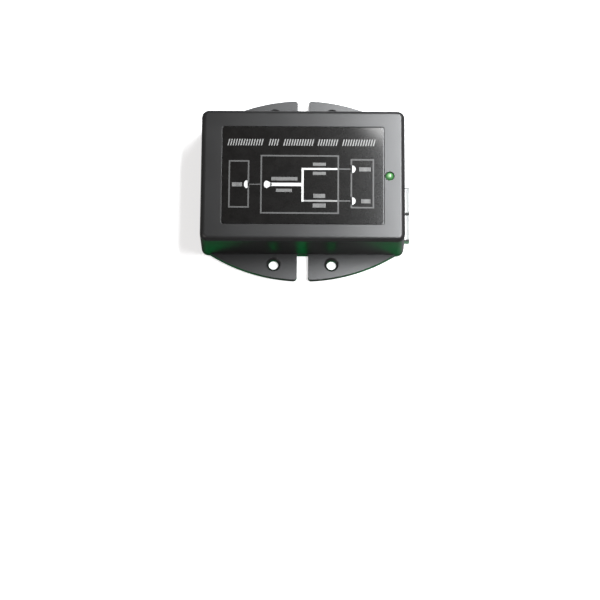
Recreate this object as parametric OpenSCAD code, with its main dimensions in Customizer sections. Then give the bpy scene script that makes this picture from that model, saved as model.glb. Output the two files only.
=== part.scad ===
// Power-over-Ethernet injector in a low moulded case with two slotted mounting ears.
// Axes: +X towards the data and power inputs, +Y towards the back, +Z up.
// Origin: centre of the case's underside. All sizes are in millimetres.

/* [Case] */
// Length of the case between its two connector ends
case_w = 95; // [94:0.5:97]
// Depth of the case between its long walls, without the ears
case_d = 64; // [63:0.5:67]
// Height of the case
case_h = 25; // [24.5:0.5:28]
// Thickness of the cover's side walls and top
wall_t = 2; // [1.6:0.1:2.2]
// Radius of the four upright corners
corner_r = 3.5; // [2.5:0.1:4]
// Radius of the rounding along the cover's top edge
edge_r = 2.3; // [1:0.1:2.5]

/* [Mounting ears] */
// Distance from the middle of the case to the tip of an ear
ear_reach = 44.6; // [43:0.2:50]
// Length of an ear where it leaves the long wall
ear_chord = 87; // [70:1:88]
// Thickness of the ears and of the base plate's edge
ear_t = 3; // [2.6:0.1:3.4]
// Width of the open slot in the middle of each ear
ear_slot_w = 5.2; // [4.6:0.1:6]
// Diameter of the screw holes in the ears
ear_hole_d = 4.5; // [3.5:0.1:5]
// Diameter of the countersink at the top of each hole
ear_sink_d = 6.8; // [6.5:0.1:8]
// Distance between the two screw holes of one ear
ear_hole_gap_x = 27.2; // [20:0.2:32]
// Distance between the hole rows of the two ears
ear_hole_gap_y = 74; // [73:0.2:78]

/* [Face label] */
// Length of the recess for the label
recess_w = 75.4; // [60:0.2:75.4]
// Depth of that recess from front to back
recess_d = 47.8; // [40:0.2:50]
// Distance of the recess's centre behind the middle of the case
recess_y = -0.3; // [-1:0.1:1]
// How far the recess is sunk into the top
recess_sink = 0.5; // [0.3:0.1:0.7]
// Thickness of the label
label_t = 0.3; // [0.1:0.05:0.3]

/* [Circuit board] */
// Length of the board
board_w = 89; // [88:0.5:89.5]
// Depth of the board
board_d = 58; // [57:0.5:58.5]
// Thickness of the board
board_t = 1.6; // [1.2:0.1:1.6]
// Height of the board's underside
board_z = 5.3; // [5.3:0.1:5.6]

/* [Connectors] */
// Distance of the output jack's centre behind the middle
poe_jack_y = 0; // [-3:0.5:3]
// Distance of the data input jack's centre behind the middle
lan_jack_y = 13; // [12:0.5:14]
// Distance of the power sockets' shared centre behind the middle
usb_pair_y = -15.25; // [-15.5:0.05:-15]
// How far the power sockets' shells stand out of the case
usb_reach = 2.3; // [1:0.1:3]

/* [Status light] */
// Distance of the status light to the right of the middle
led_x = 40.3; // [40.2:0.1:41]
// Distance of the status light behind the middle
led_y = -0.5; // [-1.2:0.1:0]
// Diameter of the light's dome
led_d = 4; // [3:0.5:4]
// How far the dome stands out of the cover
led_rise = 0.9; // [0.5:0.1:1.5]

/* [Hidden] */
$fn = 48;

// Small amount that makes a cutter pass right through a face
over = 1;

// Case
joint_gap = 0.15;
cavity_w = case_w - 2 * wall_t;
cavity_d = case_d - 2 * wall_t;
cavity_top = case_h - wall_t;
cavity_r = corner_r - wall_t;
floor_t = 2;
rim_t = 1.2;
rim_gap = 0.3;
rim_top = 5;

// Ears: the arc through the chord's ends and the tip
ear_rise = ear_reach - case_d / 2;
ear_r = (pow(ear_chord / 2, 2) + pow(ear_rise, 2)) / (2 * ear_rise);
slot_corner_r = 1.5;
slot_end_y = case_d / 2 + 0.2;
ear_sink_depth = (ear_sink_d - ear_hole_d) / 2;

// Case screws, driven from below into the cover's bosses
case_screw_at = [for (x = [-28, 28], y = [-26.7, 26.7]) [x, y]];
case_boss_d = 7;
case_pilot_d = 3.1;
case_pad_d = 9;
case_collar_d = 6.2;
case_collar_top = 4.5;
case_hole_d = 3.4;
case_head_sink_d = 6.4;
case_head_sink = 2.3;

// Board and its screws
board_top = board_z + board_t;
board_screw_at = [[-38.5, -22.5], [-38.5, 22.5], [40, 25.3], [30, -13]];
board_post_d = 6;
board_pilot_d = 2.1;
board_hole_d = 2.9;
tail_below_board = 1.3;

// Modular jack, measured from its mouth inwards and up from the board
mouth_setback = 0.3;
jack_len = 16;
jack_w = 16;
jack_h = 13.3;
plug_len = 11.8;
plug_w = 11.9;
plug_h = 6.8;
plug_z = 3.6;
jack_insert_len = 3.5;
jack_insert_w = 12;
jack_insert_h = 12.2;
jack_ways = 8;
jack_pitch = 1.02;
jack_wire = 0.45;
jack_strip = 0.3;
jack_wire_z = 12;
jack_bend_x = 2.1;
jack_bend_z = 11.5;
jack_bend_d = 0.44;
jack_finger_end_x = 9.8;
jack_finger_end_z = 7.2;

// Power socket, measured from its mouth inwards and up from the board
usb_w = 13.1;
usb_h = 5.72;
usb_len = 14;
usb_shell_t = 0.3;
usb_pitch = 13.3;
usb_stand = 0.95;
usb_tongue_w = 11.1;
usb_tongue_t = 1.84;
usb_tongue_z = 3.05;
usb_tongue_end = 1.2;
usb_block_len = 3.6;
usb_contact_at = [-3.5, -1, 1, 3.5];
usb_contact_w = 1;
usb_strip = 0.2;
usb_root_d = 0.3;
usb_finger_droop = 0.75;
usb_mouth_x = case_w / 2 + usb_reach;
usb_rear_y = usb_pair_y + usb_pitch / 2;
usb_front_y = usb_pair_y - usb_pitch / 2;

// Clear space between a connector and the case's notch for it
notch_gap = 0.25;
usb_notch_d = usb_pitch + usb_w + 2 * notch_gap;
usb_notch_top = board_top + usb_stand + usb_h + notch_gap;
jack_notch_d = jack_w + 2 * notch_gap;
jack_notch_top = board_top + jack_h + notch_gap;
sill_top = board_top - 0.3;

// Status light
led_tip_z = case_h + led_rise;
led_len = 8.6;
led_flange_t = 1;
led_base_z = led_tip_z - led_len;
led_lead_gap = 2.54;
led_lead_w = 0.5;

// Rounded rectangle centred on the origin
module rounded_plate(w, d, r) {
    union() {
        square([w - 2 * r, d], center = true);
        square([w, d - 2 * r], center = true);
        for (x = [-1, 1], y = [-1, 1])
            translate([x * (w / 2 - r), y * (d / 2 - r)])
                circle(r);
    }
}

// Box centred in X and Y, standing on z = 0
module slab(size) {
    translate([-size.x / 2, -size.y / 2, 0])
        cube(size);
}

// Box between two heights, centred on a point
module block_at(p, size_xy, low, high) {
    translate([p.x, p.y, low])
        slab([size_xy.x, size_xy.y, high - low]);
}

// Round bar between two heights
module post_at(p, d, low, high) {
    translate([p.x, p.y, low])
        cylinder(d = d, h = high - low);
}

// Direction of each stretch of a path, and the outline of a strip that follows the path
function unit(v) = v / norm(v);
function turned(v) = [-v.y, v.x];
function stretch(path, i) = unit(path[i + 1] - path[i]);
function before(path, i) = i == 0 ? stretch(path, 0) : stretch(path, i - 1);
function after(path, i) = i == len(path) - 1 ? stretch(path, i - 1) : stretch(path, i);
function mitre(path, i) =
    let (n = unit(turned(before(path, i)) + turned(after(path, i))))
    n / (n * turned(after(path, i)));
function side_points(path, t) = [for (i = [0:len(path) - 1]) path[i] + mitre(path, i) * t / 2];
function strip_outline(path, t) =
    let (upper = side_points(path, t), lower = side_points(path, -t), n = len(path))
    [for (p = upper) p, for (i = [n - 1:-1:0]) lower[i]];

// Metal strip whose path lies in X and Z, centred on y
module bent_strip(path, t, w, y) {
    translate([0, y + w / 2, 0])
        rotate([90, 0, 0])
            linear_extrude(w)
                polygon(strip_outline(path, t));
}

// Springing strip with a rolled root, which it turns about
module sprung_strip(path, t, w, y, root_d) {
    union() {
        bent_strip(path, t, w, y);
        translate([path[0].x, y + w / 2, path[0].y])
            rotate([90, 0, 0])
                cylinder(d = root_d, h = w);
    }
}

// Places of the connectors
module at_poe_jack() {
    translate([-case_w / 2 + mouth_setback, poe_jack_y, board_top])
        children();
}

module at_lan_jack() {
    translate([case_w / 2 - mouth_setback, lan_jack_y, board_top])
        rotate([0, 0, 180])
            children();
}

module at_usb(y) {
    translate([usb_mouth_x, y, board_top + usb_stand])
        rotate([0, 0, 180])
            children();
}

// One ear and its open slot, on the side that s gives
module ear_outline(s) {
    difference() {
        intersection() {
            translate([0, s * (ear_reach - ear_r)])
                circle(ear_r, $fn = 180);
            translate([-ear_chord / 2 - over, s > 0 ? case_d / 2 - 3 : -ear_reach - over])
                square([ear_chord + 2 * over, ear_rise + 3 + over]);
        }
        translate([-ear_slot_w / 2, s > 0 ? slot_end_y : -ear_reach - over])
            square([ear_slot_w, ear_reach + over - slot_end_y]);
        for (x = [-1, 1])
            slot_mouth_corner(s, x);
    }
}

// Rounds the corner between a slot's side and the ear's arc
module slot_mouth_corner(s, x) {
    across = ear_slot_w / 2 + slot_corner_r;
    along = ear_reach - ear_r + sqrt(pow(ear_r - slot_corner_r, 2) - pow(across, 2)) - 0.03;
    scale([x, s])
        difference() {
            translate([ear_slot_w / 2 - 0.5, along])
                square([slot_corner_r + 0.5, slot_corner_r + over]);
            translate([across, along])
                circle(slot_corner_r);
        }
}

// Screw hole through an ear, countersunk at 45 degrees from above
module ear_hole() {
    post_at([0, 0], ear_hole_d, -over, ear_t + over);
    translate([0, 0, ear_t - ear_sink_depth - over])
        cylinder(d1 = ear_hole_d - 2 * over, d2 = ear_sink_d + 2 * over, h = ear_sink_depth + 2 * over);
}

module sills() {
    jack_sill_d = jack_w - 2 * notch_gap;
    usb_sill_d = usb_pitch + usb_w - 2 * notch_gap;
    sill_x = case_w / 2 - wall_t / 2;
    block_at([-sill_x, poe_jack_y], [wall_t, jack_sill_d], floor_t, sill_top);
    block_at([sill_x, lan_jack_y], [wall_t, jack_sill_d], floor_t, sill_top);
    block_at([sill_x, usb_pair_y], [wall_t, usb_sill_d], floor_t, sill_top);
}

module locating_rim() {
    rim_w = cavity_w - 2 * rim_gap;
    rim_d = cavity_d - 2 * rim_gap;
    difference() {
        translate([0, 0, floor_t])
            linear_extrude(rim_top - floor_t)
                difference() {
                    rounded_plate(rim_w, rim_d, cavity_r);
                    square([rim_w - 2 * rim_t, rim_d - 2 * rim_t], center = true);
                }
        for (p = case_screw_at)
            post_at(p, case_boss_d + 1.4, ear_t + 0.05, rim_top + over);
    }
}

module base_plate() {
    color("dimgray")
        difference() {
            union() {
                difference() {
                    linear_extrude(ear_t)
                        union() {
                            rounded_plate(case_w, case_d, corner_r);
                            ear_outline(1);
                            ear_outline(-1);
                        }
                    block_at([0, 0], [cavity_w - 4, cavity_d - 4], floor_t, ear_t + over);
                }
                sills();
                locating_rim();
                for (p = board_screw_at)
                    post_at(p, board_post_d, floor_t - 0.5, board_z);
                for (p = case_screw_at) {
                    post_at(p, case_pad_d, floor_t - 0.5, ear_t);
                    post_at(p, case_collar_d, floor_t, case_collar_top);
                }
            }
            for (x = [-1, 1], y = [-1, 1])
                translate([x * ear_hole_gap_x / 2, y * ear_hole_gap_y / 2, 0])
                    ear_hole();
            for (p = case_screw_at) {
                post_at(p, case_hole_d, -over, case_collar_top + over);
                post_at(p, case_head_sink_d, -over, case_head_sink);
            }
            for (p = board_screw_at)
                post_at(p, board_pilot_d, floor_t - 0.8, board_z + over);
        }
}

// Cover's outer form: upright corners from the plan, top edges from the two side views
module cover_form() {
    low = ear_t + joint_gap;
    intersection() {
        translate([0, 0, low])
            linear_extrude(case_h - low)
                rounded_plate(case_w, case_d, corner_r);
        rotate([90, 0, 0])
            linear_extrude(case_d + 2, center = true)
                edge_profile(case_w);
        rotate([90, 0, 90])
            linear_extrude(case_w + 2, center = true)
                edge_profile(case_d);
    }
}

// Side view of the cover: square below, round at its two top corners
module edge_profile(w) {
    union() {
        translate([-w / 2, 0])
            square([w, case_h - edge_r]);
        translate([-w / 2 + edge_r, 0])
            square([w - 2 * edge_r, case_h]);
        for (x = [-1, 1])
            translate([x * (w / 2 - edge_r), case_h - edge_r])
                circle(edge_r);
    }
}

module upper_shell() {
    color("darkslategray")
        difference() {
            union() {
                difference() {
                    cover_form();
                    linear_extrude(cavity_top)
                        rounded_plate(cavity_w, cavity_d, cavity_r);
                }
                for (p = case_screw_at)
                    post_at(p, case_boss_d, case_collar_top + 0.2, cavity_top + 0.5);
            }
            translate([0, recess_y, case_h - recess_sink])
                slab([recess_w, recess_d, recess_sink + over]);
            for (p = case_screw_at)
                post_at(p, case_pilot_d, 0, case_h - 8);
            post_at([led_x, led_y], led_d + 0.4, cavity_top - over, case_h + over);
            block_at([-case_w / 2, poe_jack_y], [4 * wall_t, jack_notch_d], 0, jack_notch_top);
            block_at([case_w / 2, lan_jack_y], [4 * wall_t, jack_notch_d], 0, jack_notch_top);
            block_at([case_w / 2, usb_pair_y], [4 * wall_t, usb_notch_d], 0, usb_notch_top);
        }
}

module face_label() {
    label_margin = 0.15;
    color("black")
        translate([0, recess_y, case_h - recess_sink])
            slab([recess_w - 2 * label_margin, recess_d - 2 * label_margin, label_t]);
}

// Screw standing head down: domed head with a cross recess, then its shank
module screw(head_d, head_h, shank_d, shank_len) {
    difference() {
        union() {
            cylinder(d = head_d, h = head_h);
            translate([0, 0, head_h - 0.1])
                cylinder(d = shank_d, h = shank_len + 0.1);
        }
        translate([0, 0, -over])
            slab([head_d * 0.6, head_d * 0.16, over + head_h * 0.45]);
        translate([0, 0, -over])
            slab([head_d * 0.16, head_d * 0.6, over + head_h * 0.45]);
    }
}

module case_screws() {
    head_h = 1.8;
    color("silver")
        for (p = case_screw_at)
            translate([p.x, p.y, case_head_sink - head_h])
                screw(5.6, head_h, 2.9, 12);
}

module board_screws() {
    color("silver")
        for (p = board_screw_at)
            translate([p.x, p.y, board_top + 1.4])
                mirror([0, 0, 1])
                    screw(4.4, 1.4, 2, 4.6);
}

module circuit_board() {
    color("darkgreen")
        difference() {
            translate([0, 0, board_z])
                linear_extrude(board_t)
                    rounded_plate(board_w, board_d, 1);
            for (p = case_screw_at) {
                post_at(p, case_boss_d + 1.2, board_z - over, board_top + over);
                block_at([p.x, sign(p.y) * board_d / 2], [case_boss_d + 1.2, 5], board_z - over, board_top + over);
            }
            for (p = board_screw_at)
                post_at(p, board_hole_d, board_z - over, board_top + over);
        }
}

// Modular jack: housing with the plug's cavity and the latch's two steps below it
module jack_housing() {
    chamber_w = jack_ways * jack_pitch + 0.9;
    difference() {
        translate([0, -jack_w / 2, 0])
            cube([jack_len, jack_w, jack_h]);
        translate([-over, -plug_w / 2, plug_z])
            cube([plug_len + over, plug_w, plug_h]);
        translate([-over, -3.2, plug_z - 1.4])
            cube([plug_len + over - 0.3, 6.4, 2]);
        translate([-over, -1.9, plug_z - 2.4])
            cube([plug_len + over - 0.6, 3.8, 2]);
        translate([1.2, -chamber_w / 2, plug_z + plug_h - 1])
            cube([jack_len - 3, chamber_w, jack_h - 0.7 - plug_z - plug_h + 1]);
        translate([jack_len - jack_insert_len - 0.1, -jack_insert_w / 2 - 0.1, -over])
            cube([jack_insert_len + over, jack_insert_w + 0.2, jack_insert_h + 0.1 + over]);
    }
}

// Block that closes the jack's back and holds its wires
module jack_insert() {
    translate([jack_len - jack_insert_len, -jack_insert_w / 2, 0])
        cube([jack_insert_len, jack_insert_w, jack_insert_h]);
}

module jack_row() {
    for (i = [0:jack_ways - 1])
        translate([0, (i - (jack_ways - 1) / 2) * jack_pitch, 0])
            children();
}

// Fixed part of the eight wires: along the roof, down the back and through the board
module jack_wires() {
    back_x = jack_len - 1.6;
    tail_z = -board_t - tail_below_board;
    path = [[jack_bend_x - 0.2, jack_wire_z], [back_x, jack_wire_z], [back_x, tail_z]];
    jack_row()
        bent_strip(path, jack_strip, jack_wire, 0);
}

// Springing part of the eight wires, which the plug pushes up
module jack_fingers() {
    tip = [jack_finger_end_x, jack_finger_end_z];
    path = [[jack_bend_x, jack_bend_z], tip, tip + [1, 0.35]];
    jack_row()
        sprung_strip(path, jack_strip, jack_wire, 0, jack_bend_d);
}

module poe_jack_housing() { color("black") at_poe_jack() jack_housing(); }
module poe_jack_insert() { color("dimgray") at_poe_jack() jack_insert(); }
module poe_jack_wires() { color("gold") at_poe_jack() jack_wires(); }
module poe_jack_fingers() { color("gold") at_poe_jack() jack_fingers(); }
module lan_jack_housing() { color("black") at_lan_jack() jack_housing(); }
module lan_jack_insert() { color("dimgray") at_lan_jack() jack_insert(); }
module lan_jack_wires() { color("gold") at_lan_jack() jack_wires(); }
module lan_jack_fingers() { color("gold") at_lan_jack() jack_fingers(); }

// Power socket: stamped shell with a lip at its mouth and four tabs through the board
module usb_shell() {
    tab_z = -usb_stand - board_t - 0.9;
    difference() {
        translate([0, -usb_w / 2, 0])
            cube([usb_len, usb_w, usb_h]);
        translate([-over, -usb_w / 2 + usb_shell_t, usb_shell_t])
            cube([usb_len + 2 * over, usb_w - 2 * usb_shell_t, usb_h - 2 * usb_shell_t]);
        for (y = [-1, 1])
            translate([4.2, y * 3.1 - 0.9, usb_h - 1])
                cube([4.4, 1.8, 2]);
    }
    for (x = [6.2, 11.2], y = [-1, 1])
        translate([x, y * (usb_w - usb_shell_t) / 2 - usb_shell_t / 2, tab_z])
            cube([1.6, usb_shell_t, 1 - tab_z]);
}

// Plastic block at the socket's back with the tongue that carries the contacts
module usb_insulator() {
    inner_w = usb_w - 2 * usb_shell_t - 0.1;
    inner_h = usb_h - 2 * usb_shell_t - 0.1;
    difference() {
        union() {
            translate([usb_len - usb_block_len, -inner_w / 2, usb_shell_t + 0.05])
                cube([usb_block_len - 0.1, inner_w, inner_h]);
            translate([usb_tongue_end, -usb_tongue_w / 2, usb_tongue_z])
                cube([usb_len - usb_block_len - usb_tongue_end + 0.5, usb_tongue_w, usb_tongue_t]);
        }
        for (y = usb_contact_at)
            translate([usb_tongue_end + 0.8, y - usb_contact_w / 2 - 0.15, usb_tongue_z - over])
                cube([usb_len - usb_block_len - usb_tongue_end - 0.8, usb_contact_w + 0.3, over + 0.9]);
    }
}

// Fixed part of the four contacts: out of the block's back and down through the board
module usb_tails() {
    back_x = usb_len + 0.5;
    tail_z = -usb_stand - board_t - tail_below_board;
    path = [[usb_len - usb_block_len + 0.6, usb_tongue_z], [back_x, usb_tongue_z], [back_x, tail_z]];
    for (y = usb_contact_at)
        bent_strip(path, usb_strip, usb_contact_w, y);
}

// Springing part of the four contacts, which stands off the tongue's underside
module usb_fingers() {
    root = [usb_len - usb_block_len - 0.3, usb_tongue_z + 0.15];
    tip = [usb_tongue_end + 2.4, usb_tongue_z + 0.15 - usb_finger_droop];
    path = [root, tip, tip + [-1, 0.5]];
    for (y = usb_contact_at)
        sprung_strip(path, usb_strip, usb_contact_w, y, usb_root_d);
}

module usb_front_shell() { color("silver") at_usb(usb_front_y) usb_shell(); }
module usb_front_insulator() { color("white") at_usb(usb_front_y) usb_insulator(); }
module usb_front_tails() { color("gold") at_usb(usb_front_y) usb_tails(); }
module usb_front_fingers() { color("gold") at_usb(usb_front_y) usb_fingers(); }
module usb_rear_shell() { color("silver") at_usb(usb_rear_y) usb_shell(); }
module usb_rear_insulator() { color("white") at_usb(usb_rear_y) usb_insulator(); }
module usb_rear_tails() { color("gold") at_usb(usb_rear_y) usb_tails(); }
module usb_rear_fingers() { color("gold") at_usb(usb_rear_y) usb_fingers(); }

// Light-emitting diode: flange, barrel and domed tip turned from one outline
module status_led() {
    r = led_d / 2;
    color("limegreen")
        translate([led_x, led_y, led_base_z])
            rotate_extrude()
                union() {
                    square([r + 0.4, led_flange_t]);
                    square([r, led_len - r]);
                    intersection() {
                        translate([0, led_len - r])
                            circle(r);
                        square([r, led_len]);
                    }
                }
}

module led_leads() {
    color("silver")
        for (x = [-1, 1])
            block_at([led_x + x * led_lead_gap / 2, led_y], [led_lead_w, led_lead_w],
                board_z - tail_below_board, led_base_z);
}

// Rows of gull-wing leads along two sides of a flat package
module gull_leads(count, pitch, body_d, foot_reach, lead_z, w) {
    path = [[body_d / 2 - 0.3, lead_z], [body_d / 2 + 0.45, lead_z],
        [body_d / 2 + 0.75, 0.1], [body_d / 2 + foot_reach, 0.1]];
    for (s = [0, 180], i = [0:count - 1])
        rotate([0, 0, s])
            translate([(i - (count - 1) / 2) * pitch, 0, 0])
                rotate([0, 0, 90])
                    bent_strip(path, 0.2, w, 0);
}

// Data transformer module between the two jacks
magnetics_at = [-8, 19.5];
magnetics_size = [13.2, 9.4, 5.6];

module magnetics_module() {
    color("black")
        translate([magnetics_at.x, magnetics_at.y, board_top + 0.3])
            difference() {
                slab(magnetics_size);
                translate([-magnetics_size.x / 2 + 1.4, -magnetics_size.y / 2 + 1.4, magnetics_size.z - 0.2])
                    cylinder(d = 1.2, h = over);
            }
}

module magnetics_leads() {
    color("silver")
        translate([magnetics_at.x, magnetics_at.y, board_top])
            gull_leads(8, 1.5, magnetics_size.y, 1.5, 1.6, 0.6);
}

// Step-up transformer: ferrite frame, coil former with pins, and the taped winding
transformer_at = [-4, -7];
core_t = 4.8;
core_w = 16;
core_low = 2.2;
core_h = 10.6;
core_bar = 2.3;
core_leg = 4;
coil_w = 11.2;
coil_d = 13;
coil_low = core_low + core_bar + 0.6;
coil_high = core_low + core_h - core_bar - 0.6;

module at_transformer() {
    translate([transformer_at.x, transformer_at.y, board_top])
        children();
}

module transformer_core() {
    window_w = (core_w - core_leg) / 2 - 2;
    window_h = core_h - 2 * core_bar;
    color("darkslategray")
        at_transformer()
            translate([0, 0, core_low + core_h / 2])
                rotate([90, 0, 0])
                    linear_extrude(core_t, center = true)
                        difference() {
                            square([core_w, core_h], center = true);
                            for (s = [-1, 1])
                                translate([s * (core_leg + window_w) / 2, 0])
                                    square([window_w, window_h], center = true);
                        }
}

module transformer_bobbin() {
    bore = [core_leg + 0.3, core_t + 0.3];
    rail_y = coil_d / 2 + 0.5;
    color("ivory")
        at_transformer()
            difference() {
                union() {
                    block_at([0, 0], [core_leg + 1.2, core_t + 1.2], coil_low - 0.5, coil_high + 0.5);
                    for (z = [coil_low - 0.5, coil_high])
                        block_at([0, 0], [coil_w + 0.4, coil_d + 1.6], z, z + 0.5);
                    for (s = [-1, 1]) {
                        block_at([0, s * rail_y], [core_w, 3], 0.4, coil_low);
                        for (i = [-2:2])
                            block_at([i * 3, s * rail_y], [0.7, 0.7], -board_t - tail_below_board, 1);
                    }
                }
                block_at([0, 0], bore, 0, core_low + core_h);
            }
}

module transformer_winding() {
    color("goldenrod")
        at_transformer()
            translate([0, 0, coil_low + 0.05])
                linear_extrude(coil_high - coil_low - 0.1)
                    difference() {
                        rounded_plate(coil_w, coil_d, 2.5);
                        square([core_leg + 1.3, core_t + 1.3], center = true);
                    }
}

// Storage inductor: ferrite drum and its copper winding
inductor_at = [17, -20];
drum_d = 10;
drum_h = 8;
drum_flange = 1.3;
drum_waist = 4.6;

module inductor_core() {
    color("dimgray")
        translate([inductor_at.x, inductor_at.y, board_top])
            union() {
                cylinder(d = drum_d, h = drum_flange);
                cylinder(d = drum_waist, h = drum_h);
                translate([0, 0, drum_h - drum_flange])
                    cylinder(d = drum_d, h = drum_flange);
            }
}

module inductor_winding() {
    color("peru")
        translate([inductor_at.x, inductor_at.y, board_top + drum_flange + 0.05])
            difference() {
                cylinder(d = drum_d - 1.2, h = drum_h - 2 * drum_flange - 0.1);
                translate([0, 0, -over])
                    cylinder(d = drum_waist + 0.1, h = drum_h);
            }
}

// Round capacitor: can with its rolled groove above the board, and two leads
module round_capacitor(p, d, h) {
    translate([p.x, p.y, board_top]) {
        rotate_extrude()
            difference() {
                square([d / 2, h]);
                translate([d / 2 + 0.15, 1.9])
                    circle(0.55);
            }
        for (x = [-1, 1])
            block_at([x * d / 4, 0], [0.6, 0.6], -board_t - tail_below_board, 0.3);
    }
}

module input_capacitors() {
    color("midnightblue") {
        round_capacitor([21, -6], 8, 11.5);
        round_capacitor([11.5, -6], 8, 11.5);
    }
}

module output_capacitor() {
    color("midnightblue")
        round_capacitor([-20, -13], 10, 12.5);
}

chip_at = [8, 8];
chip_size = [4.9, 3.9, 1.5];

module controller_chip() {
    color("black")
        translate([chip_at.x, chip_at.y, board_top + 0.12])
            slab(chip_size);
}

module controller_leads() {
    color("silver")
        translate([chip_at.x, chip_at.y, board_top])
            gull_leads(4, 1.27, chip_size.y, 1.3, 0.8, 0.42);
}

transistor_at = [4, -21];

module switch_transistor() {
    color("black")
        translate([transistor_at.x, transistor_at.y, board_top + 0.1])
            union() {
                slab([6.6, 6.1, 2.2]);
                for (x = [-2.28, 2.28])
                    block_at([x, -4.2], [0.8, 2.6], -0.1, 0.5);
            }
}

module transistor_tab() {
    color("silver")
        translate([transistor_at.x, transistor_at.y + 3.15, board_top])
            translate([-2.6, 0, 0])
                cube([5.2, 1.9, 0.6]);
}

module rectifier_diode() {
    color("black")
        block_at([-11, -20.5], [4.6, 3.6], board_top + 0.05, board_top + 2.3);
}

// Round sealed fuse beside the power sockets
module fuse() {
    color("saddlebrown")
        translate([27.5, 1, board_top]) {
            cylinder(d = 8.4, h = 7.8);
            for (x = [-1, 1])
                block_at([x * 2.54, 0], [0.6, 0.6], -board_t - tail_below_board, 0.3);
        }
}

module ceramic_capacitors() {
    color("tan") {
        for (i = [0:3])
            block_at([-14 + i * 2.6, 4.5], [1.25, 2.0], board_top, board_top + 1.1);
        for (i = [0:2])
            block_at([26.5, -24.2 + i * 2.7 + 3], [3.2, 1.6], board_top, board_top + 1.4);
    }
}

module chip_resistors() {
    color("black") {
        for (i = [0:4])
            block_at([-1.5 + i * 2.3, 13.2], [0.85, 1.6], board_top, board_top + 0.5);
        for (i = [0:3])
            block_at([-26, 14 + i * 2.4], [2.0, 1.25], board_top, board_top + 0.5);
    }
}

base_plate();
upper_shell();
face_label();
case_screws();
circuit_board();
board_screws();
poe_jack_housing();
poe_jack_insert();
poe_jack_wires();
poe_jack_fingers();
lan_jack_housing();
lan_jack_insert();
lan_jack_wires();
lan_jack_fingers();
usb_front_shell();
usb_front_insulator();
usb_front_tails();
usb_front_fingers();
usb_rear_shell();
usb_rear_insulator();
usb_rear_tails();
usb_rear_fingers();
status_led();
led_leads();
magnetics_module();
magnetics_leads();
transformer_core();
transformer_bobbin();
transformer_winding();
inductor_core();
inductor_winding();
input_capacitors();
output_capacitor();
controller_chip();
controller_leads();
switch_transistor();
transistor_tab();
rectifier_diode();
fuse();
ceramic_capacitors();
chip_resistors();
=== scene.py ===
import math

import bmesh
import bpy
from mathutils import Matrix, Vector


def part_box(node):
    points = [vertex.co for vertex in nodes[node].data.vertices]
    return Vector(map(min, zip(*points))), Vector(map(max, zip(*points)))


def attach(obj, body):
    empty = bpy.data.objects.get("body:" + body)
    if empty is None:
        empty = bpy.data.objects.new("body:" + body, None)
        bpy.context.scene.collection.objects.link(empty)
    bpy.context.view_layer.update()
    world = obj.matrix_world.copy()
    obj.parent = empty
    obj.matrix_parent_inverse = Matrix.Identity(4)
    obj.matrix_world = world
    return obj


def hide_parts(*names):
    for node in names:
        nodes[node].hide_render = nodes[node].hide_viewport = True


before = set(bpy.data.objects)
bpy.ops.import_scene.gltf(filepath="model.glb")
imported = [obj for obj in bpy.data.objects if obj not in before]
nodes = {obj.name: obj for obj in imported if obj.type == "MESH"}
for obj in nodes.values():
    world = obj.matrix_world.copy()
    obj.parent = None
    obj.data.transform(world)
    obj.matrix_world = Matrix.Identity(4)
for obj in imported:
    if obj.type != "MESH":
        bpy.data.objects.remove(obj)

MM = 0.001
scene = bpy.context.scene
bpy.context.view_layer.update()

# Camera

SENSOR = 36
LENS = 142.5
TILT = math.radians(74)
TURN = math.radians(0.44)
ROLL = math.radians(-0.05)
DISTANCE = 1.127
AIM_OFFSET = (0.0013761, 0.0514387)


def add_camera():
    """Camera high over the front edge; the origin shows AIM_OFFSET right of and above the middle."""
    back = Vector((math.sin(TURN) * math.cos(TILT), -math.cos(TURN) * math.cos(TILT), math.sin(TILT)))
    right = Vector((math.cos(TURN), math.sin(TURN), 0))
    up = back.cross(right)
    spin = Matrix.Rotation(ROLL, 3, back)
    right, up = spin @ right, spin @ up
    data = bpy.data.cameras.new("camera")
    data.sensor_width = SENSOR
    data.lens = LENS
    data.clip_start, data.clip_end = 0.05, 20
    camera = bpy.data.objects.new("camera", data)
    scene.collection.objects.link(camera)
    at = back * DISTANCE - right * AIM_OFFSET[0] - up * AIM_OFFSET[1]
    camera.matrix_world = Matrix.Translation(at) @ Matrix((right, up, back)).transposed().to_4x4()
    scene.camera = camera


# Materials

def scaled(color, factor):
    return tuple(factor * c for c in color)


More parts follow.
